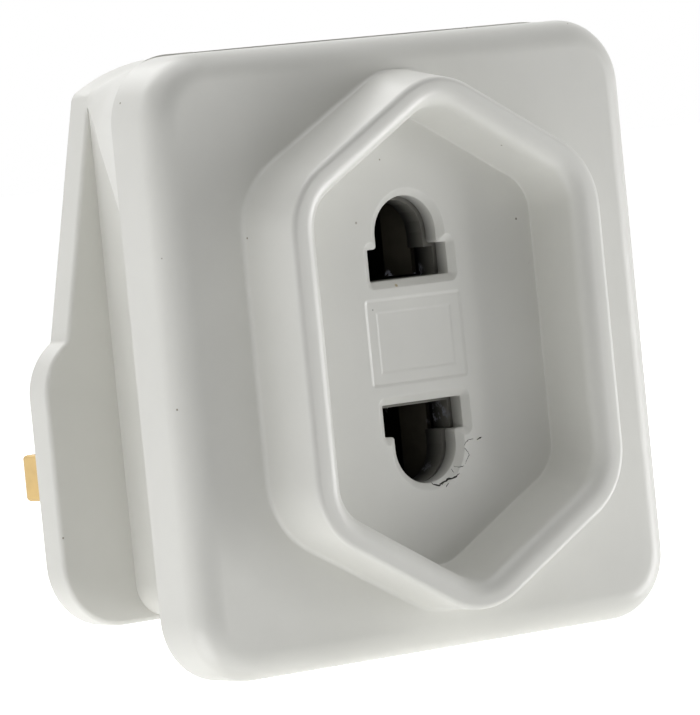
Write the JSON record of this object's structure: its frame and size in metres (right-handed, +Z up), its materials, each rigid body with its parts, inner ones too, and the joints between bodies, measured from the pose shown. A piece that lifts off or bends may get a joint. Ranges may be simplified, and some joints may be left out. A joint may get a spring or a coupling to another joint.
{
  "type": "shaver plug adapter",
  "caption": "Fused shaver adapter: square cover with a long hexagonal collar and two keyhole slots, stepped base with finger grips, flat wall pins behind.",
  "frame": {"origin": "on the engagement face that meets the wall socket, midway between the live and neutral pins", "axes": "+X to the right seen from the shaver side, +Y into the wall along the pins, +Z up towards the earth pin"},
  "size_m": [0.0482, 0.0502, 0.0504],
  "materials": {
    "white_plastic": "satin moulded white",
    "white_base_plastic": "satin moulded white",
    "black_plastic": "matt black moulding",
    "sleeve_plastic": "matt black moulding",
    "brass": "bright stamped brass",
    "plated_steel": "plated",
    "ceramic": "opaque glazed ceramic"
  },
  "bodies": {
    "root": {"front_cover": "white_plastic", "rear_shell": "white_base_plastic", "fuse_carrier": "white_base_plastic", "contact_holder": "black_plastic", "live_pin": "brass", "neutral_pin": "brass", "live_pin_sleeve": "sleeve_plastic", "neutral_pin_sleeve": "sleeve_plastic", "fuse_tube": "ceramic", "fuse_cap_live": "plated_steel", "fuse_cap_load": "plated_steel", "fuse_clip_live": "brass", "fuse_clip_load": "brass", "neutral_bar": "brass", "upper_contact": "brass", "lower_contact": "brass", "upper_rivet": "brass", "lower_rivet": "brass", "case_screw_left": "plated_steel", "case_screw_right": "plated_steel"}
  },
  "joints": []
}
